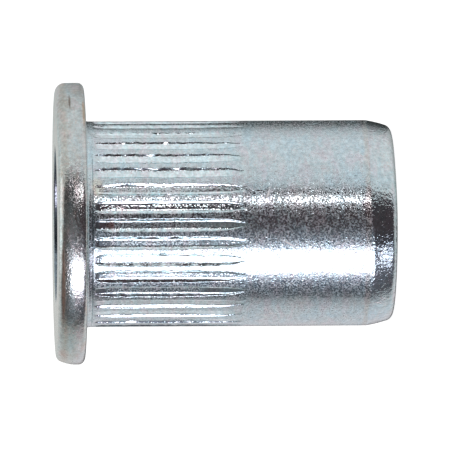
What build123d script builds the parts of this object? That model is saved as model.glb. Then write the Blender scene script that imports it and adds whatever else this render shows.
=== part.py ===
from build123d import *

import os
from math import radians, tan

# Rivet nut for an M8 screw: one cold-formed piece of zinc plated steel, with a flat
# head, a grooved shank and an open, threaded end.
#
# It stands on its open end. Z = 0 is the end face, and +Z runs up the axis to the head.
# Sizes are in millimetres and degrees.

# Head
OVERALL_LENGTH = 17.85
HEAD_DIAMETER = 15.0
HEAD_THICKNESS = 1.52
HEAD_RIM_CROWN = 0.03
HEAD_FACE_ROUNDING = 0.52
HEAD_SEAT_ROUNDING = 0.32
NECK_FILLET = 0.2

# Shank, down to the crowned nose that leads it into its hole
SHANK_DIAMETER = 10.9
NOSE_LENGTH = 1.4
NOSE_END_DIAMETER = 10.16
NOSE_CROWN_RADIUS = 7.15
NOSE_EDGE_ROUNDING = 0.42

# Bore: a thin-walled counterbore, which folds when the nut is set, over the thread
COUNTERBORE_DIAMETER = 8.3
MOUTH_ROUNDING = 0.25
TAP_DRILL_DIAMETER = 6.8
THREAD_LENGTH = 7.5
THREAD_STEP_ANGLE = 45.0
THREAD_ENTRY_CHAMFER = 0.6

# Grooves pressed into the shank: the ribs between them bite into the panel
GROOVE_COUNT = 36
GROOVE_LENGTH = 8.0
GROOVE_DEPTH = 0.14
GROOVE_FLOOR_WIDTH = 0.35
GROOVE_FLANK_ANGLE = 45.0
GROOVE_HEAD_WALL_LENGTH = 0.22
GROOVE_RUNOUT_LENGTH = 1.3
PLAIN_NECK_LENGTH = 0.4

# How far the groove cutter reaches past the shank and past the groove's floor
OVERCUT = 0.1

head_radius = HEAD_DIAMETER / 2
shank_radius = SHANK_DIAMETER / 2
groove_floor_radius = shank_radius - GROOVE_DEPTH
cutter_radius = shank_radius + OVERCUT
seat_height = OVERALL_LENGTH - HEAD_THICKNESS


def round_corner(section, radius, height, rounding):
    """Rounds the section's corner at this radius and height."""
    corner = section.vertices().sort_by_distance((radius, height))[0]
    fillet(corner, radius=rounding)


def formed_blank():
    """The nut before its grooves: one half of its section, turned about the axis."""
    nose_end_radius = NOSE_END_DIAMETER / 2
    rim_edge_radius = head_radius - HEAD_RIM_CROWN
    counterbore_radius = COUNTERBORE_DIAMETER / 2
    thread_bore_radius = TAP_DRILL_DIAMETER / 2
    step_height = (counterbore_radius - thread_bore_radius) / tan(radians(THREAD_STEP_ANGLE))
    with BuildPart() as blank:
        with BuildSketch(Plane.XZ) as section:
            with BuildLine():
                nose = RadiusArc(
                    (shank_radius, NOSE_LENGTH), (nose_end_radius, 0), NOSE_CROWN_RADIUS
                )
                rim = ThreePointArc(
                    (rim_edge_radius, seat_height),
                    (head_radius, seat_height + HEAD_THICKNESS / 2),
                    (rim_edge_radius, OVERALL_LENGTH),
                )
                Polyline(nose @ 0, (shank_radius, seat_height), rim @ 0)
                Polyline(
                    rim @ 1,
                    (counterbore_radius, OVERALL_LENGTH),
                    (counterbore_radius, THREAD_LENGTH + step_height),
                    (thread_bore_radius, THREAD_LENGTH),
                    (thread_bore_radius, THREAD_ENTRY_CHAMFER),
                    (thread_bore_radius + THREAD_ENTRY_CHAMFER, 0),
                    nose @ 1,
                )
            make_face()
            round_corner(section, nose_end_radius, 0, NOSE_EDGE_ROUNDING)
            round_corner(section, shank_radius, seat_height, NECK_FILLET)
            round_corner(section, rim_edge_radius, seat_height, HEAD_SEAT_ROUNDING)
            round_corner(section, rim_edge_radius, OVERALL_LENGTH, HEAD_FACE_ROUNDING)
            round_corner(section, counterbore_radius, OVERALL_LENGTH, MOUTH_ROUNDING)
        revolve(axis=Axis.Z)
    return blank.part


def groove_band():
    """A ring that bounds the grooves' length: a short wall at the head, a long run-out."""
    groove_top = seat_height - PLAIN_NECK_LENGTH
    groove_bottom = groove_top - GROOVE_LENGTH
    wall_overcut = OVERCUT * GROOVE_HEAD_WALL_LENGTH / GROOVE_DEPTH
    runout_overcut = OVERCUT * GROOVE_RUNOUT_LENGTH / GROOVE_DEPTH
    outline = Polyline(
        (groove_floor_radius - OVERCUT, groove_bottom + GROOVE_RUNOUT_LENGTH + runout_overcut),
        (groove_floor_radius - OVERCUT, groove_top - GROOVE_HEAD_WALL_LENGTH - wall_overcut),
        (cutter_radius, groove_top + wall_overcut),
        (cutter_radius, groove_bottom - runout_overcut),
        close=True,
    )
    return revolve(Plane.XZ * make_face(outline), axis=Axis.Z)


def groove_bar():
    """A bar along the nut at +X, with the groove's flat floor and its flanks."""
    floor_half_width = GROOVE_FLOOR_WIDTH / 2
    flank_width = (GROOVE_DEPTH + OVERCUT) * tan(radians(GROOVE_FLANK_ANGLE))
    outline = Polyline(
        (groove_floor_radius, -floor_half_width),
        (cutter_radius, -floor_half_width - flank_width),
        (cutter_radius, floor_half_width + flank_width),
        (groove_floor_radius, floor_half_width),
        close=True,
    )
    return extrude(make_face(outline), OVERALL_LENGTH, dir=(0, 0, 1))


def rivet_nut():
    """The finished nut, as one solid."""
    groove = groove_band() & groove_bar()
    return formed_blank() - [place * groove for place in PolarLocations(0, GROOVE_COUNT)]


os.makedirs("parts", exist_ok=True)
export_step(rivet_nut(), "parts/rivet_nut.step")
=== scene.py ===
from math import acos, atan2, ceil, cos, pi, radians, sin, tan
from types import SimpleNamespace

import bpy
import numpy as np
from bpy.props import FloatProperty, FloatVectorProperty, IntProperty, PointerProperty
from mathutils import Matrix, Vector


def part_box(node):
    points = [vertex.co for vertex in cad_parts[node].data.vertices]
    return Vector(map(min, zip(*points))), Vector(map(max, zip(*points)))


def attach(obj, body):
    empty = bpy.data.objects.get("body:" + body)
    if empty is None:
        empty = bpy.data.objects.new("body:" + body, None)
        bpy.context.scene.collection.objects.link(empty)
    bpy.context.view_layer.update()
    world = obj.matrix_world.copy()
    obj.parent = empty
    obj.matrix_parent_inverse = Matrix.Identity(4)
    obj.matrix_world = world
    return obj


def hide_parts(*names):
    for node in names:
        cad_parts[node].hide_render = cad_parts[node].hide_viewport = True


bl_info = {
    "name": "Rivet nut",
    "version": (1, 0, 0),
    "blender": (4, 5, 0),
    "location": "View3D > Sidebar > Rivet nut",
    "description": "A zinc plated rivet nut with a grooved shank, and a plain studio for it",
    "category": "Add Mesh",
}

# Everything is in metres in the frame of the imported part: the nut stands on its open
# end at Z = 0, its axis is Z and its head is on top.
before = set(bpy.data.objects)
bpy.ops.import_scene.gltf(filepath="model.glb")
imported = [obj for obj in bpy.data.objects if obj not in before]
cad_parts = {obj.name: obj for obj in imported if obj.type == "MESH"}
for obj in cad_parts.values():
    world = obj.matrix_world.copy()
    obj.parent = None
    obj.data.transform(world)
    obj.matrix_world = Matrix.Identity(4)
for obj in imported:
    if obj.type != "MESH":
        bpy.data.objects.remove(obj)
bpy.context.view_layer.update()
nut_low, nut_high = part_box("rivet_nut")

MM = 0.001


def hex_colour(code):
    """The linear colour of an sRGB hex value."""
    channels = [int(code[i:i + 2], 16) / 255 for i in (1, 3, 5)]
    return [c / 12.92 if c <= 0.04045 else ((c + 0.055) / 1.055) ** 2.4 for c in channels]


def add_node(tree, kind, inputs=None, output=None, stops=(), **settings):
    """Adds a node with its settings, fills or links its inputs by name or number, sets its
    ramp's stops, and gives the output of that name, or the first one in use."""
    node = tree.nodes.new(kind)
    for name, value in settings.items():
        setattr(node, name, value)
    for name, value in (inputs or {}).items():
        # Some nodes hold a socket of this name for each type of value, with one in use
        socket = next(s for i, s in enumerate(node.inputs) if s.enabled and name in (i, s.name))
        if isinstance(value, bpy.types.NodeSocket):
            tree.links.new(value, socket)
        else:
            socket.default_value = value
    if stops:
        elements = node.color_ramp.elements
        while len(elements) < len(stops):
            elements.new(1.0)
        for element, (position, colour) in zip(elements, stops):
            element.position = position
            element.color = (*colour, 1.0)
    return next((s for s in node.outputs if s.enabled and output in (None, s.name)), None)


# ---------------------------------------------------------------------------- sizes


def length(name, description, default):
    """A length that a user may change, in metres."""
    return FloatProperty(
        name=name, description=description, default=default, min=0, unit="LENGTH", precision=5
    )


def slope(name, description, default, least, most):
    """An angle that a user may change, given in degrees."""
    return FloatProperty(
        name=name, description=description, default=radians(default), min=radians(least),
        max=radians(most), subtype="ANGLE",
    )


def share(name, description, default):
    """A share from 0 to 1 that a user may change."""
    return FloatProperty(
        name=name, description=description, default=default, min=0, max=1, subtype="FACTOR"
    )


def brightness(name, description, default):
    """A brightness that a user may change, as a multiple of the studio's own."""
    return FloatProperty(name=name, description=description, default=default, min=0)


def tint(name, description, code):
    """A colour that a user may change, given as an sRGB hex value."""
    return FloatVectorProperty(
        name=name, description=description, default=hex_colour(code), size=3, subtype="COLOR",
        min=0, max=1,
    )


class NutSizes(bpy.types.PropertyGroup):
    """Sizes of the formed nut"""

    overall_length: length(
        "Overall length", "From the open end to the head's face", nut_high.z - nut_low.z
    )
    head_diameter: length("Head diameter", "Across the flat head", nut_high.x - nut_low.x)
    head_thickness: length("Head thickness", "Of the flat head", 1.52 * MM)
    face_rounding: length("Face rounding", "Of the head's edge at its face", 0.52 * MM)
    face_rounding_full: length(
        "Face rounding on the full side", "Of the head's edge at its face", 0.2 * MM
    )
    seat_rounding: length("Seat rounding", "Of the head's edge at its seat", 0.32 * MM)
    seat_rounding_sharp: length(
        "Seat rounding on the sharp sides", "Of the head's edge at its seat", 0.2 * MM
    )
    neck_fillet: length("Neck fillet", "Between the head and the shank", 0.23 * MM)
    shank_diameter: length("Shank diameter", "Over the ribs", 10.9 * MM)
    nose_length: length("Nose length", "Of the crowned lead-in", 1.4 * MM)
    nose_end_diameter: length("Nose end diameter", "Of the lead-in's end", 10.16 * MM)
    nose_crown_radius: length("Nose crown radius", "Of the lead-in's curve", 7.15 * MM)
    nose_rounding: length("Nose rounding", "Of the open end's outer edge", 0.46 * MM)
    crease_rounding: length("Crease rounding", "Where the lead-in begins", 0.4 * MM)
    counterbore_diameter: length("Counterbore diameter", "Of the thin-walled part", 8.3 * MM)
    mouth_rounding: length("Mouth rounding", "Of the bore's edge at the head", 0.1 * MM)
    thread_diameter: length("Thread diameter", "Major diameter of the thread", 8.0 * MM)
    thread_pitch: length("Thread pitch", "From one turn to the next", 1.25 * MM)
    tap_drill_diameter: length("Tap drill diameter", "Over the thread's crests", 6.8 * MM)
    thread_length: length("Thread length", "From the open end to the counterbore", 7.5 * MM)
    entry_chamfer: length("Entry chamfer", "Of the thread's open end", 0.6 * MM)
    groove_count: IntProperty(
        name="Groove count", description="Grooves round the shank, a multiple of 3", default=36,
        min=3, step=3,
    )
    groove_length: length("Groove length", "Along the shank", 8.0 * MM)
    groove_depth: length("Groove depth", "Below the ribs", 0.12 * MM)
    groove_floor_width: length("Groove floor width", "Between the flanks", 0.34 * MM)
    groove_floor_wear: length(
        "Groove floor wear", "How much further a worn tool's floor reaches to one side", 0.06 * MM
    )
    flank_foot_slope: slope(
        "Flank slope at the floor", "Where a groove's side rises from its floor", 30, 5, 40
    )
    flank_top_slope: slope(
        "Flank slope at the rib", "Where a groove's side meets the rib", 47, 41, 75
    )
    groove_head_wall: length("Groove head wall", "Length of the step at the head", 0.23 * MM)
    plain_neck: length("Plain neck", "Between the head and the grooves", 0.4 * MM)


class PlateLook(bpy.types.PropertyGroup):
    """Colours, haze and relief of the zinc plate"""

    plate_colour: tint("Plate colour", "Zinc under a clear blue passivate", "#C2D5DA")
    stain_colour: tint("Stain colour", "Faint tan patches left by the bath", "#C9D0CF")
    rim_colour: tint("Rim colour", "The head, pressed to a more neutral grey", "#C5CDCC")
    film_colour: tint("Film colour", "Tan film left on the rim by the bath", "#AFA69A")
    # The bore's colour is darker than the plate: thin, dull plate, and painted shade of the deep
    # hollow
    bore_plate_and_shade: tint("Bore colour", "Thin, dull plate in the bore", "#78828A")
    groove_colour: tint("Groove colour", "Cleaner, bluer plate in the grooves", "#DCEDEF")
    # A scratch's burr is bare metal painted pure white, a painted glint along the scratch
    burr_and_glint_colour: tint("Burr colour", "Bare metal thrown up by a scratch", "#FFFFFF")
    roughness: share("Roughness", "Haze of the smoothest grains", 0.06)
    rough_grain: share("Rough grains", "Haze of the roughest grains", 0.6)
    formed_haze: share("Formed haze", "Haze left on the head and the nose, as a share", 0.35)
    flank_haze: share("Flank haze", "Haze left on the grooves' flanks, as a share", 0.15)
    rim_haze: share("Rim haze", "Haze that the press added to the head", 0.09)
    burr_haze: share("Burr haze", "Haze that a scratch's burr adds", 0.8)
    grain_shade: share("Grain shade", "How much the grains differ in lightness", 0.18)
    grain_size: length("Grain size", "Of the plate's crystal patches", 0.2 * MM)
    haze_size: length("Haze size", "Of the rough grains", 0.075 * MM)
    stain_size: length("Stain size", "Of the faint tan patches", 1.6 * MM)
    streak_size: length("Streak size", "Of the rim's film", 1.1 * MM)
    hue_size: length("Hue patch size", "Of the passivate's colour patches", 1.5 * MM)
    seam_size: length("Seam size", "Between two lines where colour patches meet", 0.75 * MM)
    press_mark_size: length("Press mark size", "Of the dull marks on the head", 0.45 * MM)
    pebble_size: length("Pebble size", "Of the plate's relief", 0.17 * MM)
    pebble_height: length("Pebble height", "Of the plate's relief", 0.007 * MM)
    head_pebble_height: length("Head pebble height", "Added on the head", 0.002 * MM)
    nose_pebble_height: length("Nose pebble height", "Of the relief on the nose", 0.025 * MM)
    pit_size: length("Pit size", "Of the specks in the plate", 0.08 * MM)
    pit_depth: length("Pit depth", "Of the specks in the plate", 0.007 * MM)
    pit_start: share("Pit start", "Share of the surface without specks", 0.55)
    groove_pits: share("Groove pits", "Strength of the specks in the grooves", 0.5)


# ---------------------------------------------------------------------------- section


def unit(v):
    """The vector at length one."""
    return v / np.hypot(*v)


def rounded(before, corner, after, radius, steps):
    """Points of the arc that rounds the corner between two straight lines."""
    to_before, to_after = unit(before - corner), unit(after - corner)
    half = acos(np.clip(to_before @ to_after, -1, 1)) / 2
    start = corner + to_before * radius / tan(half)
    centre = corner + unit(to_before + to_after) * radius / sin(half)
    end = corner + to_after * radius / tan(half)
    first, last = atan2(*(start - centre)[::-1]), atan2(*(end - centre)[::-1])
    turn = (last - first + pi) % (2 * pi) - pi
    angles = [first + turn * i / steps for i in range(steps + 1)]
    return [centre + radius * np.array((cos(a), sin(a))) for a in angles]


def between(start, end, steps):
    """Points inside a straight line, without its ends."""
    return [start + (end - start) * i / steps for i in range(1, steps)]


def circle_through(start, end, radius):
    """Centre of the circle through two points that bulges away from the axis."""
    middle, half = (start + end) / 2, (end - start) / 2
    inward = unit(np.array((half[1], -half[0])))
    if inward[0] > 0:
        inward = -inward
    return middle + inward * np.sqrt(radius ** 2 - half @ half)


# ---------------------------------------------------------------------------- surface

# The surface is a stack of rings of points, from the head's face down the outside and back
# up the bore. Bridges join each ring to the next.
BORE_THREAD_RINGS = 112
GROOVE_RINGS = 68
# Where the columns of half a groove stand: along its floor, up its flank and along the rib
FLOOR_SHARES = (0.0, 0.55)
FLANK_SHARES = (0.0, 0.15, 0.38, 0.62, 0.85, 1.0)
RIB_SHARES = (0.18, 0.55)
COLUMNS_PER_GROOVE = 2 * len(FLOOR_SHARES + FLANK_SHARES + RIB_SHARES)

# One nut is a little out of true on some sides. Each side: its angle from +X, the cosine off
# that angle where it begins, and how steeply it rises to its whole
FULL_HEAD_EDGE = (radians(190), -0.389, 0.9)
PRESSED_RIM = (pi, 0.2308, 1.3)
TURNED_RING = (radians(-110), 0.3, 1.6)
SHALLOW_GROOVES = (radians(-20), 0.6, 4.0)
LOW_NOSE_CREASE = (radians(-117), 0.75, 4.0)
SHORT_NOSE = (0.0, 0.0, 1.2)
RIM_CROWN_RADIUS = 7.0 * MM
RIM_PRESSED_IN = 0.07 * MM
NOSE_SHORTER_BY = 0.045 * MM
CREASE_LOWER_BY = 0.17 * MM
SHALLOWER_BY = 0.2

# How a groove gets deeper from the head and runs out to the nose: the share of its length that
# this takes, and the power of the curve. It is already this share of its length in at its wall
RUN_IN = (0.14, 0.5)
RUN_OUT = (0.4, 0.62)
BEGUN_AT_WALL = 0.018
# How unlike the grooves are: the spread of their depths, as a share, of their ends, and of
# the slopes of their flanks at the floor and at the rib, as shares
DEPTH_SPREAD = 0.08
END_SPREAD = 0.08 * MM
FOOT_SLOPE_SPREAD = 0.2
TOP_SLOPE_SPREAD = 0.03
# Random lines along a groove: how far apart their bends are, and how far they stray
DEPTH_LINE = (1.1 * MM, 0.05)
DRIFT_LINE = (2.2 * MM, 0.008 * MM)
FLANK_LINE = (0.22 * MM, 0.14)
TORN_LINE = (0.2 * MM, 0.008 * MM)
EDGE_LINE = (0.9 * MM, 0.005 * MM)
# How torn the flanks are on a groove's two sides
TORN_SIDES = ((-1, 0.6), (1, 1.0))
LEAST_FLOOR = 0.02 * MM
LEAST_FLANK = 0.012 * MM
RANDOM_SEED = 8


def smooth(t):
    """Eases from 0 to 1."""
    t = np.clip(t, 0, 1)
    return t * t * (3 - 2 * t)


def wander(rng, positions, spacing, amount):
    """A smooth random line along these positions."""
    low, high = positions.min() - spacing, positions.max() + spacing
    knots = np.arange(low, high + 2 * spacing, spacing)
    values = rng.normal(0, amount, len(knots))
    index = (positions - low) / spacing
    whole = np.clip(index.astype(int), 0, len(knots) - 2)
    t = smooth(index - whole)
    return values[whole] * (1 - t) + values[whole + 1] * t


def toward(side, angles):
    """1 on this side of the nut, easing to 0 away from it."""
    angle, begins, steepness = side
    return smooth((np.cos(angles - angle) - begins) * steepness)


def column_angles(columns):
    """The angles of evenly spaced columns, from +X on."""
    return np.arange(columns) * 2 * pi / columns


def outer_angles(s):
    """The angles of the columns outside, two of the grooved part's columns apart."""
    return column_angles(s.groove_count * COLUMNS_PER_GROOVE // 2)


def bore_angles(s):
    """The angles of the columns in the bore, six of the grooved part's columns apart."""
    return column_angles(s.groove_count * COLUMNS_PER_GROOVE // 6)


def ring(radii, angles, heights):
    """A ring of points round the axis. Each radius and height may be one for all points."""
    points = [radii * np.cos(angles), radii * np.sin(angles), heights]
    return np.column_stack(np.broadcast_arrays(*points))


def head_section(s, face_rounding, seat_rounding):
    """The head's section, as radius and height, from the bore's mouth over the face, the rim
    and the seat to the neck."""
    top, seat = s.overall_length, s.overall_length - s.head_thickness
    rim, shank = s.head_diameter / 2, s.shank_diameter / 2
    mouth = np.array((s.counterbore_diameter / 2 + s.mouth_rounding, top))
    face_corner, seat_corner = np.array((rim, top)), np.array((rim, seat))
    neck_corner, below = np.array((shank, seat)), np.array((shank, 0.0))
    face_arc = rounded(mouth, face_corner, seat_corner, face_rounding, steps=10)
    seat_arc = rounded(face_corner, seat_corner, neck_corner, seat_rounding, steps=8)
    neck_arc = rounded(seat_corner, neck_corner, below, s.neck_fillet, steps=6)
    points = [*between(mouth, face_arc[0], steps=4), *face_arc]
    points += [*between(face_arc[-1], seat_arc[0], steps=7), *seat_arc]
    points += [*between(seat_arc[-1], neck_arc[0], steps=3), *neck_arc]
    return np.array(points)


def head_rings(s):
    """Rings of the head. Its face edge is fuller on one side, its seat edge sharper on two."""
    full = head_section(s, s.face_rounding_full, s.seat_rounding)
    worn = head_section(s, s.face_rounding, s.seat_rounding)
    sharper = head_section(s, s.face_rounding, s.seat_rounding_sharp) - worn
    angles = outer_angles(s)
    fullness = toward(FULL_HEAD_EDGE, angles)[:, None]
    sharpness = np.sin(angles)[:, None] ** 2
    rings = []
    for full_point, worn_point, change in zip(full, worn, sharper):
        section = full_point * fullness + worn_point * (1 - fullness) + change * sharpness
        rings.append(ring(section[:, 0], angles, section[:, 1]))
    return rings


def neck_rings(s):
    """Rings of the plain neck, with the fine ring that the groove tool turned into it."""
    shank, seat = s.shank_diameter / 2, s.overall_length - s.head_thickness
    angles = outer_angles(s)
    turned = toward(TURNED_RING, angles)
    # Each step of the turned ring: how far it is below the seat, and how deep
    steps = ((0.26, 0), (0.295, 0.05), (0.31, 0.05), (0.345, 0))
    return [ring(shank - deep * MM * turned, angles, seat - below * MM) for below, deep in steps]


def groove_heights(s):
    """Heights of the rings in the grooved part, from the head down: close together at the
    step by the head, then even."""
    top = s.overall_length - s.head_thickness - s.plain_neck
    wall = [top + d * MM for d in (0.03, 0.0, -0.05, -0.11, -0.17, -0.22, -0.27)]
    bottom = top - s.groove_length - 0.05 * MM
    return np.array([*wall, *np.linspace(wall[-1], bottom, GROOVE_RINGS)[1:]])


def press_groove(s, rng, heights, side_angle):
    """One groove: how far across the shank each of its columns stands from its middle, and
    how deep it is there, for each height. No two grooves are quite alike."""
    top = s.overall_length - s.head_thickness - s.plain_neck
    rib_middle = pi * s.shank_diameter / s.groove_count / 2
    # On the shallow side the tool pressed lightly, and tore the flanks more
    light = toward(SHALLOW_GROOVES, side_angle)
    own_depth = s.groove_depth * rng.normal(1, DEPTH_SPREAD) * (1 - SHALLOWER_BY * light)
    own_bottom = top - s.groove_length + abs(rng.normal(0, END_SPREAD))
    wall = smooth((top - heights) / s.groove_head_wall)
    from_head = (top - heights) / s.groove_length + BEGUN_AT_WALL
    from_nose = (heights - own_bottom) / s.groove_length
    envelope = np.clip(from_head / RUN_IN[0], 0, 1) ** RUN_IN[1]
    envelope = envelope * np.clip(from_nose / RUN_OUT[0], 0, 1) ** RUN_OUT[1]
    groove = own_depth * envelope * wall * (1 + wander(rng, heights, *DEPTH_LINE))
    # The floor's far end is rounded over a ninth of the groove's length
    end_rounding = np.sqrt(np.clip(from_nose * 9, 0, 1)) * (0.8 + 0.2 * wall)
    drift = wander(rng, heights, *DRIFT_LINE)
    across = np.zeros((len(heights), COLUMNS_PER_GROOVE))
    depth = np.zeros_like(across)
    for side, torn in TORN_SIDES:
        wear = s.groove_floor_wear if side < 0 else 0
        floor = (s.groove_floor_width / 2 + wear) * end_rounding
        foot = s.flank_foot_slope * rng.normal(1, FOOT_SLOPE_SPREAD)
        turn = s.flank_top_slope * rng.normal(1, TOP_SLOPE_SPREAD) - foot
        torn *= 1 + light
        stretch = 1 + torn * wander(rng, heights, *FLANK_LINE)
        ragged = torn * wander(rng, heights, *TORN_LINE) + wander(rng, heights, *EDGE_LINE)
        ragged *= np.clip(envelope * 2, 0, 1)
        # The flank is an arc that steepens from its foot to the rib
        rise = np.log(cos(foot) / cos(foot + turn))
        flank = groove * turn / rise * np.clip(stretch, 0.5, 1.6)
        inner = np.maximum(floor + side * drift + ragged, LEAST_FLOOR)
        outer = inner + np.maximum(flank, LEAST_FLANK)
        columns = [part * inner for part in FLOOR_SHARES]
        depths = [groove for part in FLOOR_SHARES]
        for part in FLANK_SHARES:
            columns.append(inner + part * (outer - inner))
            depths.append(groove * (1 - np.log(cos(foot) / cos(foot + part * turn)) / rise))
        columns += [outer + part * (rib_middle - outer) for part in RIB_SHARES]
        depths += [0 * groove for part in RIB_SHARES]
        numbers = COLUMNS_PER_GROOVE // 2 + side * np.arange(len(columns))
        across[:, numbers] = side * np.column_stack(columns)
        depth[:, numbers] = np.column_stack(depths)
    across[:, 0] = -rib_middle
    return across, depth


def grooved_rings(s, rng):
    """Rings of the grooved part, whose columns follow each groove's flanks."""
    shank, heights = s.shank_diameter / 2, groove_heights(s)
    top = s.overall_length - s.head_thickness - s.plain_neck
    bottom = top - s.groove_length
    # Above and below the grooves the columns ease back to an even spacing
    inside = smooth((top + 0.02 * MM - heights) / (0.1 * MM))
    inside *= smooth((heights - bottom + 0.03 * MM) / (0.25 * MM))
    pitch = 2 * pi * shank / s.groove_count
    even = (np.arange(COLUMNS_PER_GROOVE) / COLUMNS_PER_GROOVE - 0.5) * pitch
    angles, radii = [], []
    for side_angle in column_angles(s.groove_count):
        across, depth = press_groove(s, rng, heights, side_angle)
        across = even + (across - even) * inside[:, None]
        angles.append(side_angle + across / shank)
        radii.append(shank - depth)
    rings = map(ring, np.hstack(radii), np.hstack(angles), heights)
    # Each ring's first column goes to +X, where the plain rings begin
    return [np.roll(points, -(COLUMNS_PER_GROOVE // 2), axis=0) for points in rings]


def plain_rings(s):
    """Rings of the plain shank, the crowned nose and the open end's face."""
    shank, crease, clearance = s.shank_diameter / 2, s.nose_length, 0.02 * MM
    top = s.overall_length - s.head_thickness - s.plain_neck - s.groove_length - 0.2 * MM
    straight = [np.array((shank, h)) for h in np.linspace(top, crease + 0.14 * MM, 13)]
    start, end = np.array((shank, crease)), np.array((s.nose_end_diameter / 2, 0.0))
    centre = circle_through(start, end, s.nose_crown_radius)
    first, last = (atan2(*(p - centre)[::-1]) for p in (start, end))
    crown = [
        centre + s.nose_crown_radius * np.array((cos(a), sin(a)))
        for a in np.linspace(first, last, 14)
    ]
    inner = np.array((s.tap_drill_diameter / 2 + s.entry_chamfer, 0.0))
    edge = rounded(crown[-2], end, inner, s.nose_rounding, steps=8)
    turn = rounded(straight[-1], start, crown[2], s.crease_rounding, steps=4)
    crown = [p for p in crown[1:] if edge[0][1] + clearance < p[1] < turn[-1][1] - clearance]
    points = [*straight, *turn, *crown, *edge, *between(edge[-1], inner, steps=2), inner]
    return [ring(radius, outer_angles(s), height) for radius, height in points]


def bore_rings(s):
    """Rings up the bore: entry chamfer, thread, step, counterbore and rounded mouth."""
    minor, major = s.tap_drill_diameter / 2, s.thread_diameter / 2
    counterbore, top = s.counterbore_diameter / 2, s.overall_length
    step_end = s.thread_length + counterbore - minor
    flank = (major - minor) * tan(radians(30))
    angles = bore_angles(s)
    rings = []
    for height in np.linspace(0.03 * MM, step_end, BORE_THREAD_RINGS):
        # The thread's root is an eighth of its pitch wide
        phase = (height / s.thread_pitch - angles / (2 * pi)) % 1.0
        off_root = np.abs(phase - 0.5) * s.thread_pitch - s.thread_pitch / 8 / 2
        thread = major - (major - minor) * np.clip(off_root / flank, 0, 1)
        chamfer = minor + s.entry_chamfer - height
        step = minor + height - s.thread_length
        rings.append(ring(np.maximum(thread, max(chamfer, step)), angles, height))
    wall = np.linspace(step_end, top - s.mouth_rounding, 8)[1:-1]
    rings += [ring(counterbore, angles, height) for height in wall]
    below, corner = np.array((counterbore, 0.0)), np.array((counterbore, top))
    face = np.array((s.head_diameter / 2, top))
    *mouth, (last_radius, last_height) = rounded(below, corner, face, s.mouth_rounding, steps=6)
    rings += [ring(radius, angles, height) for radius, height in mouth]
    return [*rings, ring(last_radius, outer_angles(s), last_height)]


def bridge(upper, lower):
    """Faces between two rings of vertex numbers, one of which may have a multiple of columns."""
    if len(upper) == len(lower):
        around = zip(lower, lower[1:] + lower[:1], upper[1:] + upper[:1], upper)
        return list(around)
    coarse, fine = sorted((upper, lower), key=len)
    ratio = len(fine) // len(coarse)
    half = ceil(ratio / 2)
    faces = []
    for j, here in enumerate(coarse):
        there = coarse[(j + 1) % len(coarse)]
        run = [fine[(j * ratio + i) % len(fine)] for i in range(ratio + 1)]
        triangles = [(here if i < half else there, run[i + 1], run[i]) for i in range(ratio)]
        triangles.append((here, there, run[half]))
        faces += [t[::-1] for t in triangles] if fine is lower else triangles
    return faces


def uneven(points, s):
    """Moves the surface in by the small unevenness of a pressed head and a formed nose."""
    radius = np.hypot(points[:, 0], points[:, 1])
    angle = np.arctan2(points[:, 1], points[:, 0])
    height = points[:, 2]
    above_seat = height - s.overall_length + s.head_thickness
    on_rim = smooth((radius - s.head_diameter / 2 + 0.9 * MM) / (0.6 * MM))
    # The rim is flat between 0.39 and 0.5 mm above its seat and crowned on both sides of
    # that, most toward -X, where it is pressed in a little too
    off_flat = np.maximum(above_seat - 0.5 * MM, 0) + np.minimum(above_seat - 0.39 * MM, 0)
    crown = off_flat ** 2 / RIM_CROWN_RADIUS * (1 - 0.9 * np.cos(angle))
    pressed = RIM_PRESSED_IN * toward(PRESSED_RIM, angle)
    scale = 1 - on_rim * (crown + pressed) / radius
    # The nose is a little shorter toward +X, and begins a little lower at one place
    outside = radius > s.thread_diameter / 2 + 0.5 * MM
    near_end = smooth(1 - height / (0.7 * MM)) * smooth((radius - 4 * MM) / (0.8 * MM))
    height = height + NOSE_SHORTER_BY * near_end * toward(SHORT_NOSE, angle)
    near_crease = smooth(1 - np.abs(height - s.nose_length) / (1.1 * MM)) * outside
    height = height - CREASE_LOWER_BY * near_crease * toward(LOW_NOSE_CREASE, angle)
    return np.column_stack([points[:, 0] * scale, points[:, 1] * scale, height])


def nut_mesh(s):
    """The whole nut as one watertight surface."""
    rng = np.random.default_rng(RANDOM_SEED)
    rings = head_rings(s) + neck_rings(s) + grooved_rings(s, rng) + plain_rings(s) + bore_rings(s)
    numbers, total = [], 0
    for points in rings:
        numbers.append(list(range(total, total + len(points))))
        total += len(points)
    faces = []
    for upper, lower in zip(numbers, numbers[1:] + numbers[:1]):
        faces += bridge(upper, lower)
    mesh = bpy.data.meshes.new("formed_nut")
    mesh.from_pydata(uneven(np.concatenate(rings), s).tolist(), [], faces)
    mesh.polygons.foreach_set("use_smooth", [True] * len(mesh.polygons))
    mesh.validate()
    mesh.update()
    return mesh


# ---------------------------------------------------------------------------- finish

# Stains on the plate. Where each one's middle is, in degrees round the nut from +X and in mm
# above the open end; how far it turns from level, in degrees; its half length and half width
# in mm; its colour, how much it covers and how much haze it adds
STAINS = (
    (-115.5, 17.59, 0, 2.9, 0.12, "#7E6858", 0.85, 0.4),
    (-31.0, 17.17, 0, 0.8, 0.08, "#6E5440", 0.6, 0.2),
    (-38.0, 16.44, 0, 1.2, 0.10, "#C0A98A", 0.6, 0.1),
    (-69.0, 15.78, 0, 0.65, 0.35, "#E4DDCB", 0.6, 0.0),
    (-90.3, 15.15, 0, 0.24, 0.32, "#7A4A3C", 0.8, 0.2),
)
# Scratches: middle, turn, half length and half width as above, and how far the ends bend away
# from the middle, as a share of the half length
SCRATCHES = (
    (-73.2, 6.81, -21, 0.40, 0.085, 0.24),
    (-100.9, 5.74, 60, 0.6, 0.06, 0.12),
    (-141.0, 0.95, 64, 0.35, 0.06, 0.24),
)
# A stain's edge is as ragged as the rim's streaks: how far they move it, and where it begins
# and is whole, in half lengths and widths from its middle with the streaks' share added
STAIN_RAGGEDNESS = 1.6
STAIN_BEGINS, STAIN_WHOLE = 1.9, 1.3
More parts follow.
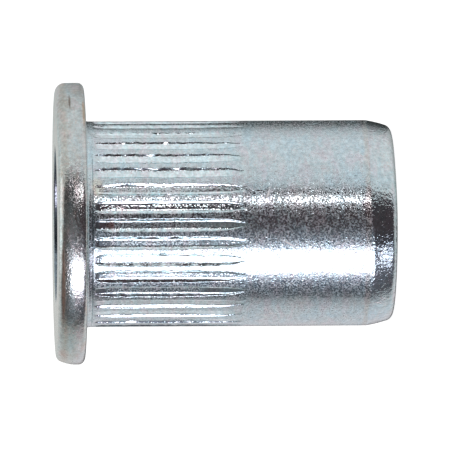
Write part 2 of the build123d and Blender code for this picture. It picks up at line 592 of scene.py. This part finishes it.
# How much of the plate's colour each of these lets through, along its own pattern: the
# passivate's bluish, greenish and pinkish patches, the lines between them, the warmer rough
# grains, and the tan line where the nose begins
HUES = (
    (0.32, (0.93, 1.03, 1.06)), (0.43, (0.97, 1.04, 1.05)), (0.5, (1.0, 1.04, 1.03)),
    (0.58, (1.03, 1.01, 1.02)), (0.7, (1.06, 0.99, 1.01)),
)
HUE_SEAM = ((0.46, (1, 1, 1)), (0.48, (1.02, 0.91, 0.88)), (0.50, (1, 1, 1)))
GRAIN_WARMTH = ((0.45, (1, 1, 1)), (0.65, (1.05, 0.95, 0.96)))
NOSE_LINE = (
    (0.33, (1, 1, 1)), (0.36, (1.0, 0.93, 0.88)), (0.48, (1.02, 0.94, 0.90)), (0.56, (1, 1, 1)),
)
# The film up the head's thickness, and the rubbed flank up a groove's depth
FILM_LINE = (
    (0.0, (0, 0, 0)), (0.6, (0, 0, 0)), (0.74, (0.55, 0.55, 0.55)), (0.86, (0.35, 0.35, 0.35)),
    (0.93, (0, 0, 0)),
)
RUBBED_FLANK = ((0.25, (0, 0, 0)), (0.38, (1, 1, 1)), (0.8, (1, 1, 1)), (0.93, (0, 0, 0)))


def nut_regions(tree, s):
    """Where a point of the surface is, and 1 in each part of the nut with a finish of its own
    and 0 outside it."""
    place = add_node(tree, "ShaderNodeTexCoord", output="Object")
    x, y, height = add_node(tree, "ShaderNodeSeparateXYZ", {"Vector": place}).node.outputs
    outward = add_node(tree, "ShaderNodeCombineXYZ", {"X": x, "Y": y})
    radius = add_node(tree, "ShaderNodeVectorMath", {0: outward}, operation="LENGTH")
    angle = add_node(tree, "ShaderNodeMath", {0: y, 1: x}, operation="ARCTAN2")
    shank, counterbore = s.shank_diameter / 2, s.counterbore_diameter / 2
    seat = s.overall_length - s.head_thickness
    grooves_end = seat - s.plain_neck - s.groove_length
    # What tells each part, and between which of its values the part begins
    starts = {
        "head": (height, seat - 0.1 * MM, seat + 0.1 * MM),
        "grooved": (height, grooves_end - 0.1 * MM, grooves_end + 0.3 * MM),
        "nose": (height, s.nose_length, s.nose_length - 0.1 * MM),
        "bore": (radius, counterbore + 0.06 * MM, counterbore + 0.01 * MM),
        "below_ribs": (radius, shank - 0.03 * MM, shank - 0.07 * MM),
    }
    on = SimpleNamespace(place=place, x=x, height=height, radius=radius, angle=angle)
    for part, (value, start, end) in starts.items():
        setattr(on, part, add_node(tree, "ShaderNodeMapRange", {
            "Value": value, "From Min": start, "From Max": end,
        }, interpolation_type="SMOOTHSTEP" if part == "head" else "LINEAR"))
    on.groove = add_node(tree, "ShaderNodeMath", {
        0: on.below_ribs, 1: on.grooved,
    }, operation="MULTIPLY")
    on.formed = add_node(tree, "ShaderNodeMath", {0: on.nose, 1: on.head}, operation="MAXIMUM")
    # Patterns in this place are three times as long round the nut as along it
    on.stretched = add_node(tree, "ShaderNodeVectorMath", {
        0: place, 1: (1.0, 1.0, 3.0),
    }, operation="MULTIPLY")
    return on


def off_mark(tree, on, angle, rise, turn, half_length, half_width, bend=0.0):
    """How far a point is from a mark's middle, in the mark's own half lengths and widths."""
    turned_by = add_node(tree, "ShaderNodeMath", {
        0: on.angle, 1: radians(angle),
    }, operation="SUBTRACT")
    round_nut = add_node(tree, "ShaderNodeMath", {
        0: turned_by, 1: on.radius,
    }, operation="MULTIPLY")
    above = add_node(tree, "ShaderNodeMath", {0: on.height, 1: rise * MM}, operation="SUBTRACT")
    place = add_node(tree, "ShaderNodeCombineXYZ", {"X": round_nut, "Y": above})
    level, steep = cos(radians(turn)) / MM, sin(radians(turn)) / MM
    along = add_node(tree, "ShaderNodeVectorMath", {
        0: place, 1: (level / half_length, steep / half_length, 0),
    }, operation="DOT_PRODUCT")
    across = add_node(tree, "ShaderNodeVectorMath", {
        0: place, 1: (-steep / half_width, level / half_width, 0),
    }, operation="DOT_PRODUCT")
    if bend:
        squared = add_node(tree, "ShaderNodeMath", {0: along, 1: along}, operation="MULTIPLY")
        across = add_node(tree, "ShaderNodeMath", {
            0: squared, 1: -bend * half_length / half_width, 2: across,
        }, operation="MULTIPLY_ADD")
    both = add_node(tree, "ShaderNodeCombineXYZ", {"X": along, "Y": across})
    return add_node(tree, "ShaderNodeVectorMath", {0: both}, operation="LENGTH")


def scratch_burrs(tree, on):
    """1 on the bare burr of each scratch, which carries a painted white glint, and 0 elsewhere.
    The burrs are drawn some three times as wide as they are, so that they show."""
    burrs = 0.0
    for scratch in SCRATCHES:
        burr = add_node(tree, "ShaderNodeMapRange", {
            "Value": off_mark(tree, on, *scratch), "From Min": 1.0, "From Max": 0.3,
        }, interpolation_type="SMOOTHSTEP")
        burrs = add_node(tree, "ShaderNodeMath", {0: burrs, 1: burr}, operation="ADD")
    return burrs


def plate_colour(tree, look, s, on, haze, burrs):
    """The plate's colour, with painted shade in the bore and a painted glint on the scratches'
    burrs, and the haze that its stains add.
    """
    # Faint tan patches, and film from the bath in streaks round the head and a line by its face
    patches = add_node(tree, "ShaderNodeTexNoise", {
        "Vector": on.place, "Scale": 1 / look.stain_size, "Detail": 4.0, "Roughness": 0.6,
    })
    stained = add_node(tree, "ShaderNodeMapRange", {
        "Value": patches, "From Min": 0.35, "From Max": 0.8, "To Max": 0.7,
    })
    streaks = add_node(tree, "ShaderNodeTexNoise", {
        "Vector": on.stretched, "Scale": 1 / look.streak_size, "Detail": 5.0, "Roughness": 0.7,
    })
    streaked = add_node(tree, "ShaderNodeMapRange", {
        "Value": streaks, "From Min": 0.5, "From Max": 0.75, "To Max": 0.8,
    })
    up_head = add_node(tree, "ShaderNodeMapRange", {
        "Value": on.height, "From Min": s.overall_length - s.head_thickness,
        "From Max": s.overall_length,
    })
    film_line = add_node(tree, "ShaderNodeValToRGB", {"Fac": up_head}, stops=FILM_LINE)
    film = add_node(tree, "ShaderNodeMath", {
        0: streaked, 1: on.head, 2: film_line,
    }, operation="MULTIPLY_ADD")
    colour = (*look.plate_colour, 1)
    # The bore's darker colour is painted shade of its hollow as well as its thin, dull plate
    for cover, own_colour in (
        (stained, look.stain_colour), (on.groove, look.groove_colour),
        (on.head, look.rim_colour), (film, look.film_colour), (on.bore, look.bore_plate_and_shade),
    ):
        colour = add_node(tree, "ShaderNodeMix", {
            "Factor": cover, "A": colour, "B": (*own_colour, 1),
        }, data_type="RGBA")
    added_haze = 0.0
    for *outline, code, amount, dullness in STAINS:
        ragged_off = add_node(tree, "ShaderNodeMath", {
            0: streaks, 1: STAIN_RAGGEDNESS, 2: off_mark(tree, on, *outline),
        }, operation="MULTIPLY_ADD")
        cover = add_node(tree, "ShaderNodeMapRange", {
            "Value": ragged_off, "From Min": STAIN_BEGINS, "From Max": STAIN_WHOLE,
            "To Max": amount,
        }, interpolation_type="SMOOTHSTEP")
        colour = add_node(tree, "ShaderNodeMix", {
            "Factor": cover, "A": colour, "B": (*hex_colour(code), 1),
        }, data_type="RGBA")
        added_haze = add_node(tree, "ShaderNodeMath", {
            0: cover, 1: dullness, 2: added_haze,
        }, operation="MULTIPLY_ADD")
    # Grains that differ in lightness
    grains = add_node(tree, "ShaderNodeTexNoise", {
        "Vector": on.place, "Scale": 1 / look.grain_size, "Detail": 2.0, "Roughness": 0.65,
    })
    shade = add_node(tree, "ShaderNodeMapRange", {
        "Value": grains, "From Min": 0.3, "From Max": 0.7,
        "To Min": 1 - look.grain_shade, "To Max": 1 + look.grain_shade,
    })
    # The passivate's colour patches, and thin lines where two of them meet
    hues = add_node(tree, "ShaderNodeTexNoise", {
        "Vector": on.stretched, "Scale": 1 / look.hue_size, "Detail": 3.0, "Roughness": 0.55,
        "Distortion": 0.6,
    })
    seams = add_node(tree, "ShaderNodeTexNoise", {
        "Vector": on.place, "Scale": 1 / look.seam_size, "Detail": 3.0, "Distortion": 2.0,
    })
    up_nose = add_node(tree, "ShaderNodeMapRange", {
        "Value": on.height, "From Min": s.nose_length - 0.5 * MM,
        "From Max": s.nose_length + 1.0 * MM,
    })
    filters = [
        add_node(tree, "ShaderNodeValToRGB", {"Fac": pattern}, stops=stops)
        for pattern, stops in (
            (up_nose, NOSE_LINE), (hues, HUES), (seams, HUE_SEAM), (haze, GRAIN_WARMTH),
        )
    ]
    for let_through in (shade, *filters):
        colour = add_node(tree, "ShaderNodeVectorMath", {
            0: colour, 1: let_through,
        }, operation="MULTIPLY")
    # A scratch's burr is bare metal, painted white as a bright glint along the scratch
    colour = add_node(tree, "ShaderNodeMix", {
        "Factor": burrs, "A": colour, "B": (*look.burr_and_glint_colour, 1),
    }, data_type="RGBA")
    return colour, added_haze


def plate_haze(tree, look, s, on, haze, burrs, stain_haze):
    """The plate's roughness: haze where a grain is rough, less on what the tools rubbed, and
    more on press marks, stains and burrs."""
    rough = add_node(tree, "ShaderNodeMapRange", {
        "Value": haze, "From Min": 0.4, "From Max": 0.75,
        "To Min": look.roughness, "To Max": look.rough_grain,
    })
    # The flanks are rubbed smooth by the tool that pressed the grooves, the head and the nose
    # by the dies that formed them
    up_groove = add_node(tree, "ShaderNodeMapRange", {
        "Value": on.radius, "From Min": s.shank_diameter / 2 - 0.15 * MM,
        "From Max": s.shank_diameter / 2,
    })
    flank = add_node(tree, "ShaderNodeValToRGB", {"Fac": up_groove}, stops=RUBBED_FLANK)
    flank = add_node(tree, "ShaderNodeMath", {0: flank, 1: on.grooved}, operation="MULTIPLY")
    for rubbed, left in ((on.formed, look.formed_haze), (flank, look.flank_haze)):
        kept = add_node(tree, "ShaderNodeMapRange", {
            "Value": rubbed, "To Min": 1.0, "To Max": left,
        })
        rough = add_node(tree, "ShaderNodeMath", {0: rough, 1: kept}, operation="MULTIPLY")
    # The head is duller toward +X, and the press left dull marks on it, longer round the nut
    matte = add_node(tree, "ShaderNodeMapRange", {
        "Value": on.x, "From Min": 2 * MM, "From Max": 6.5 * MM,
        "To Min": look.rim_haze, "To Max": look.rim_haze + 0.3,
    })
    marks = add_node(tree, "ShaderNodeTexNoise", {
        "Vector": on.stretched, "Scale": 1 / look.press_mark_size, "Detail": 3.0,
        "Roughness": 0.7,
    })
    marks = add_node(tree, "ShaderNodeMapRange", {
        "Value": marks, "From Min": 0.53, "From Max": 0.72, "To Max": 0.25,
    })
    for more, where in (
        (matte, on.head), (marks, on.head), (stain_haze, 1.0), (burrs, look.burr_haze),
    ):
        rough = add_node(tree, "ShaderNodeMath", {
            0: more, 1: where, 2: rough,
        }, operation="MULTIPLY_ADD")
    return rough


def plate_relief(tree, look, on):
    """The plate's bumps: pebbles, and sparse steep specks. Both are drawn a little coarser
    than the real grain of some hundredths of a millimetre, so that they show."""
    pebbles = add_node(tree, "ShaderNodeTexNoise", {
        "Vector": on.place, "Scale": 1 / look.pebble_size, "Detail": 2.0, "Roughness": 0.6,
    })
    pebble_height = add_node(tree, "ShaderNodeMapRange", {
        "Value": on.nose, "To Min": look.pebble_height, "To Max": look.nose_pebble_height,
    })
    pebble_height = add_node(tree, "ShaderNodeMath", {
        0: on.head, 1: look.head_pebble_height, 2: pebble_height,
    }, operation="MULTIPLY_ADD")
    pebbled = add_node(tree, "ShaderNodeBump", {
        "Height": pebbles, "Distance": pebble_height, "Strength": 1.0,
    })
    specks = add_node(tree, "ShaderNodeTexNoise", {
        "Vector": on.place, "Scale": 1 / look.pit_size, "Detail": 0.0,
    })
    pits = add_node(tree, "ShaderNodeMapRange", {
        "Value": specks, "From Min": look.pit_start, "From Max": 1.0,
    })
    pit_strength = add_node(tree, "ShaderNodeMapRange", {
        "Value": on.groove, "To Min": 1.0, "To Max": look.groove_pits,
    })
    return add_node(tree, "ShaderNodeBump", {
        "Height": pits, "Distance": look.pit_depth, "Strength": pit_strength, "Normal": pebbled,
    })


def zinc_plate(look, s):
    """Zinc plate under a clear blue passivate, on cold formed steel: a bright metal with a
    fine pebbled grain that breaks the edge of every reflection into sparkle, a cool tint
    that drifts to tan in slow patches, and a duller, greyer rim where the head was pressed."""
    material = bpy.data.materials.new("zinc_plate_blue_passivate")
    material.use_nodes = True
    tree = material.node_tree
    shader = tree.nodes["Principled BSDF"]
    on = nut_regions(tree, s)
    haze = add_node(tree, "ShaderNodeTexNoise", {
        "Vector": on.place, "Scale": 1 / look.haze_size, "Detail": 1.0,
    })
    burrs = scratch_burrs(tree, on)
    colour, stain_haze = plate_colour(tree, look, s, on, haze, burrs)
    rough = plate_haze(tree, look, s, on, haze, burrs, stain_haze)
    tree.links.new(colour, shader.inputs["Base Color"])
    tree.links.new(rough, shader.inputs["Roughness"])
    tree.links.new(plate_relief(tree, look, on), shader.inputs["Normal"])
    shader.inputs["Metallic"].default_value = 1.0
    return material


class MESH_OT_rivet_nut_add(bpy.types.Operator):
    """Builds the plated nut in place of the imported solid"""

    bl_idname = "mesh.rivet_nut_add"
    bl_label = "Add rivet nut"

    def execute(self, context):
        s = context.scene.nut_sizes
        nut = bpy.data.objects.new("formed_nut", nut_mesh(s))
        nut.data.materials.append(zinc_plate(context.scene.plate_look, s))
        context.scene.collection.objects.link(nut)
        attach(nut, "root")
        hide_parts("rivet_nut")
        return {"FINISHED"}


# ---------------------------------------------------------------------------- studio


class StudioLook(bpy.types.PropertyGroup):
    """Levels of the studio, its top light, and where its camera stands"""

    card_level: brightness("Cards", "Level of the studio's cards and flags", 1.0)
    light_level: brightness("Lights", "Level of the lights in front of the nut", 1.0)
    softbox_power: FloatProperty(
        name="Softbox power", description="Of the light above the floor", default=0.15, min=0,
        unit="POWER",
    )
    softbox_size: length("Softbox size", "Along each side", 300 * MM)
    camera_distance: length("Camera distance", "From the nut's axis", 400 * MM)
    camera_height: length("Camera height", "Above the floor", 27.92 * MM)
    camera_lens: FloatProperty(
        name="Lens", description="Focal length in mm", default=603.9, min=1, unit="CAMERA"
    )


# Where the camera stands round the nut from -Y towards +X, how far it is rolled from level,
# after its quarter turn, and the point that it looks at
CAMERA_TURN = radians(0.4)
CAMERA_ROLL = radians(0.3263)
CAMERA_AIM = Vector((-0.08 * MM, 0, 8.846 * MM))
SENSOR_WIDTH_MM = 36.0
SOFTBOX_PLACE = (50 * MM, 50 * MM, 500 * MM)
FLOOR_HALF_SIDE = 3000 * MM
# The floor lies a hair below the nut, so that the two faces don't coincide
FLOOR_GAP = 0.01 * MM
FLOOR_GLOW = 0.9

# The studio round the nut, seen from above: each card or flag stands at an angle, in degrees
# from the camera towards -X, and has a level and a tint.
DARK = (0.072, 0.048, 0.054)
EYE_LEVEL_RING = (
    (-180, (0.04, 0.045, 0.045)),
    (-152, (0.045, 0.05, 0.05)),
    (-140, (0.20, 0.205, 0.21)),
    (-124, (0.69, 0.67, 0.69)),
    (-108, (0.87, 0.84, 0.87)),
    (-80, (0.87, 0.84, 0.87)),
    (-40.5, (0.80, 0.76, 0.79)),
    (-38.5, DARK),
    (4, DARK),
    (10, (0.14, 0.13, 0.15)),
    (20, (0.17, 0.165, 0.20)),
    (29, (0.34, 0.32, 0.37)),
    (58, (0.68, 0.64, 0.75)),
    (62, (0.41, 0.40, 0.48)),
    (68, (0.21, 0.20, 0.25)),
    (76, (0.11, 0.11, 0.13)),
    (88, (0.085, 0.079, 0.091)),
    (91, (0.11, 0.11, 0.12)),
    (95, (0.52, 0.48, 0.50)),
    (114, (0.80, 0.74, 0.77)),
    (160, (0.80, 0.74, 0.77)),
    (170, (0.11, 0.11, 0.11)),
)
HIGH_RING = (
    (-180, (0.76, 0.78, 0.76)),
    (-150, (0.66, 0.67, 0.68)),
    (-122, (0.84, 0.85, 0.86)),
    (-96, (0.93, 0.94, 0.95)),
    (-50, (0.90, 0.91, 0.92)),
    (-43, (0.72, 0.72, 0.73)),
    (-38, (0.085, 0.083, 0.09)),
    (-14, (0.10, 0.10, 0.105)),
    (4, (0.20, 0.20, 0.205)),
    (18, (0.13, 0.13, 0.14)),
    (34, (0.20, 0.185, 0.19)),
    (52, (0.20, 0.20, 0.215)),
    (62, (0.16, 0.16, 0.175)),
    (90, (0.15, 0.15, 0.16)),
    (95, (0.36, 0.37, 0.37)),
    (106, (0.52, 0.54, 0.54)),
    (126, (0.64, 0.65, 0.65)),
    (160, (0.74, 0.72, 0.72)),
    (170, (0.68, 0.68, 0.66)),
)
LOW_RING = (
    (-180, (0.35, 0.36, 0.35)),
    (-154, (0.55, 0.56, 0.55)),
    (-130, (0.71, 0.71, 0.71)),
    (-112, (0.92, 0.89, 0.90)),
    (-40, (0.85, 0.83, 0.84)),
    (-36, (0.76, 0.73, 0.73)),
    (-33, (0.067, 0.055, 0.061)),
    (18, (0.067, 0.055, 0.061)),
    (30, (0.10, 0.09, 0.11)),
    (58, (0.20, 0.18, 0.21)),
    (94, (0.10, 0.09, 0.10)),
    (100, (0.44, 0.41, 0.43)),
    (108, (0.68, 0.65, 0.66)),
    (118, (0.82, 0.76, 0.77)),
    (160, (0.82, 0.76, 0.77)),
    (170, (0.12, 0.12, 0.12)),
)
UNDERNEATH = (0.65, 0.65, 0.65)
OVERHEAD = ((-180, (0.8, 0.8, 0.8)), (180, (0.8, 0.8, 0.8)))
# From below upwards: where each ring begins and is whole, in degrees above eye level
STORIES = (
    (LOW_RING, -75, -62),
    (EYE_LEVEL_RING, -20, -13),
    (HIGH_RING, -0.8, 1.2),
    (OVERHEAD, 45, 72),
)
# Each light: where its left and right side, its lower and its upper edge begin and end to
# fade, in degrees round from the camera and above eye level, and its level. They are a strip
# light and the glow round it, a soft glow above it, its glare on the table, and the slit
# between two flags
LIGHTS = (
    ((29.2, 30.8), (57.4, 55.8), (-12, -9), (14, 7), (4.7, 4.4, 4.75)),
    ((22, 31), (66, 55), (-20, -14), (26, 5), (0.11, 0.10, 0.14)),
    ((4, 28), (82, 58), (-1, 3), (18, 9), (0.45, 0.47, 0.54)),
    ((34, 37), (54, 50), (-46, -42), (-29, -32), (3.0, 2.8, 3.2)),
    ((-29.6, -28.5), (-22.8, -24.0), (-9, -7), (0.6, -1.2), (7.6, 6.9, 7.1)),
)


def studio_world(look):
    """White to the camera, and the studio's cards, flags and lights to the metal."""
    world = bpy.data.worlds.new("studio")
    world.use_nodes = True
    tree = world.node_tree
    tree.nodes.clear()
    # Which way a reflection goes: its turn from the camera round the nut, and its lift
    towards = add_node(tree, "ShaderNodeTexCoord", output="Generated")
    from_camera = add_node(tree, "ShaderNodeVectorMath", {
        0: towards, 1: (-1.0, -1.0, 1.0),
    }, operation="MULTIPLY")
    sideways, forward, up = add_node(
        tree, "ShaderNodeSeparateXYZ", {"Vector": from_camera}
    ).node.outputs
    turn = add_node(tree, "ShaderNodeMath", {0: sideways, 1: forward}, operation="ARCTAN2")
    lift = add_node(tree, "ShaderNodeMath", {0: up}, operation="ARCSINE")
    round_nut = add_node(tree, "ShaderNodeMapRange", {
        "Value": turn, "From Min": -pi, "From Max": pi,
    })
    colour = tuple(c * look.card_level for c in UNDERNEATH) + (1,)
    for cards, start, whole in STORIES:
        stops = [
            (angle / 360 + 0.5, [c * look.card_level for c in own_colour])
            for angle, own_colour in cards
        ]
        story = add_node(tree, "ShaderNodeValToRGB", {"Fac": round_nut}, stops=stops)
        begun = add_node(tree, "ShaderNodeMapRange", {
            "Value": lift, "From Min": radians(start), "From Max": radians(whole),
        }, interpolation_type="SMOOTHSTEP")
        colour = add_node(tree, "ShaderNodeMix", {
            "Factor": begun, "A": colour, "B": story,
        }, data_type="RGBA")
    for left, right, bottom, top, own_colour in LIGHTS:
        window = [c * look.light_level for c in own_colour]
        for value, (start, whole) in ((turn, left), (turn, right), (lift, bottom), (lift, top)):
            begun = add_node(tree, "ShaderNodeMapRange", {
                "Value": value, "From Min": radians(start), "From Max": radians(whole),
            }, interpolation_type="SMOOTHSTEP")
            window = add_node(tree, "ShaderNodeVectorMath", {
                0: window, 1: begun,
            }, operation="MULTIPLY")
        colour = add_node(tree, "ShaderNodeVectorMath", {0: colour, 1: window}, operation="ADD")
    seen = add_node(tree, "ShaderNodeLightPath", output="Is Camera Ray")
    studio = add_node(tree, "ShaderNodeBackground", {"Color": colour, "Strength": 1.0})
    white = add_node(tree, "ShaderNodeBackground", {"Color": (1, 1, 1, 1), "Strength": 1.0})
    both = add_node(tree, "ShaderNodeMixShader", {0: seen, 1: studio, 2: white})
    add_node(tree, "ShaderNodeOutputWorld", {"Surface": both})
    return world


def white_floor_paint():
    """White floor paint. The camera sees it lit to white, less the nut's shadow."""
    material = bpy.data.materials.new("white_floor")
    material.use_nodes = True
    tree = material.node_tree
    tree.nodes.clear()
    paint = add_node(tree, "ShaderNodeBsdfDiffuse", {"Color": (*hex_colour("#A0A0A0"), 1)})
    glow = add_node(tree, "ShaderNodeEmission", {"Color": (1, 1, 1, 1), "Strength": FLOOR_GLOW})
    seen = add_node(tree, "ShaderNodeLightPath", output="Is Camera Ray")
    lit = add_node(tree, "ShaderNodeAddShader", {0: paint, 1: glow})
    both = add_node(tree, "ShaderNodeMixShader", {0: seen, 1: paint, 2: lit})
    add_node(tree, "ShaderNodeOutputMaterial", {"Surface": both})
    return material


def studio_floor():
    """A plain white floor under the nut, which the metal doesn't reflect."""
    half = FLOOR_HALF_SIDE
    mesh = bpy.data.meshes.new("floor")
    corners = [(-half, -half, 0), (half, -half, 0), (half, half, 0), (-half, half, 0)]
    mesh.from_pydata(corners, [], [(0, 1, 2, 3)])
    mesh.materials.append(white_floor_paint())
    floor = bpy.data.objects.new("floor", mesh)
    floor.location.z = -FLOOR_GAP
    floor.visible_glossy = False
    floor.visible_shadow = False
    return floor


def top_softbox(look):
    """A square light above the floor."""
    light = bpy.data.lights.new("top_softbox", "AREA")
    light.size = look.softbox_size
    light.energy = look.softbox_power
    softbox = bpy.data.objects.new("top_softbox", light)
    softbox.location = SOFTBOX_PLACE
    return softbox


def studio_camera(look):
    """The camera, a quarter turn over, so that the standing nut lies with its head to the
    left."""
    data = bpy.data.cameras.new("camera")
    data.lens = look.camera_lens
    data.sensor_width = SENSOR_WIDTH_MM
    data.clip_start, data.clip_end = 10 * MM, 20000 * MM
    camera = bpy.data.objects.new("camera", data)
    place = Vector((
        look.camera_distance * sin(CAMERA_TURN), -look.camera_distance * cos(CAMERA_TURN),
        look.camera_height,
    ))
    back = (place - CAMERA_AIM).normalized()
    down = Vector((0, 0, -1))
    level = (down - down.dot(back) * back).normalized()
    upright = back.cross(level)
    right = cos(CAMERA_ROLL) * level - sin(CAMERA_ROLL) * upright
    up = sin(CAMERA_ROLL) * level + cos(CAMERA_ROLL) * upright
    axes = Matrix((right, up, back)).transposed().to_4x4()
    camera.matrix_world = Matrix.Translation(place) @ axes
    return camera


class SCENE_OT_nut_studio_add(bpy.types.Operator):
    """Adds the floor, the studio round the nut, the top light and the camera"""

    bl_idname = "scene.nut_studio_add"
    bl_label = "Add studio"

    def execute(self, context):
        scene, look = context.scene, context.scene.studio_look
        floor, camera = studio_floor(), studio_camera(look)
        for thing in (floor, top_softbox(look), camera):
            scene.collection.objects.link(thing)
        scene.world = studio_world(look)
        scene.camera = camera
        scene.view_settings.view_transform = "Standard"
        return {"FINISHED"}


class VIEW3D_PT_rivet_nut(bpy.types.Panel):
    """Lists the nut's sizes and looks, and the operators"""

    bl_label = "Rivet nut"
    bl_idname = "VIEW3D_PT_rivet_nut"
    bl_space_type = "VIEW_3D"
    bl_region_type = "UI"
    bl_category = "Rivet nut"

    def draw(self, context):
        layout = self.layout
        for group in ("nut_sizes", "plate_look", "studio_look"):
            values = getattr(context.scene, group)
            box = layout.box()
            for name in values.__annotations__:
                box.prop(values, name)
        layout.operator(MESH_OT_rivet_nut_add.bl_idname)
        layout.operator(SCENE_OT_nut_studio_add.bl_idname)


CLASSES = (
    NutSizes, PlateLook, StudioLook, MESH_OT_rivet_nut_add, SCENE_OT_nut_studio_add,
    VIEW3D_PT_rivet_nut,
)


def register():
    """Registers the classes, and gives the scene their values."""
    for cls in CLASSES:
        bpy.utils.register_class(cls)
    bpy.types.Scene.nut_sizes = PointerProperty(type=NutSizes)
    bpy.types.Scene.plate_look = PointerProperty(type=PlateLook)
    bpy.types.Scene.studio_look = PointerProperty(type=StudioLook)


def unregister():
    """Takes back what register did."""
    del bpy.types.Scene.nut_sizes, bpy.types.Scene.plate_look, bpy.types.Scene.studio_look
    for cls in reversed(CLASSES):
        bpy.utils.unregister_class(cls)


def main():
    """Builds the nut and its studio."""
    register()
    bpy.ops.mesh.rivet_nut_add()
    bpy.ops.scene.nut_studio_add()


if __name__ == "__main__":
    main()
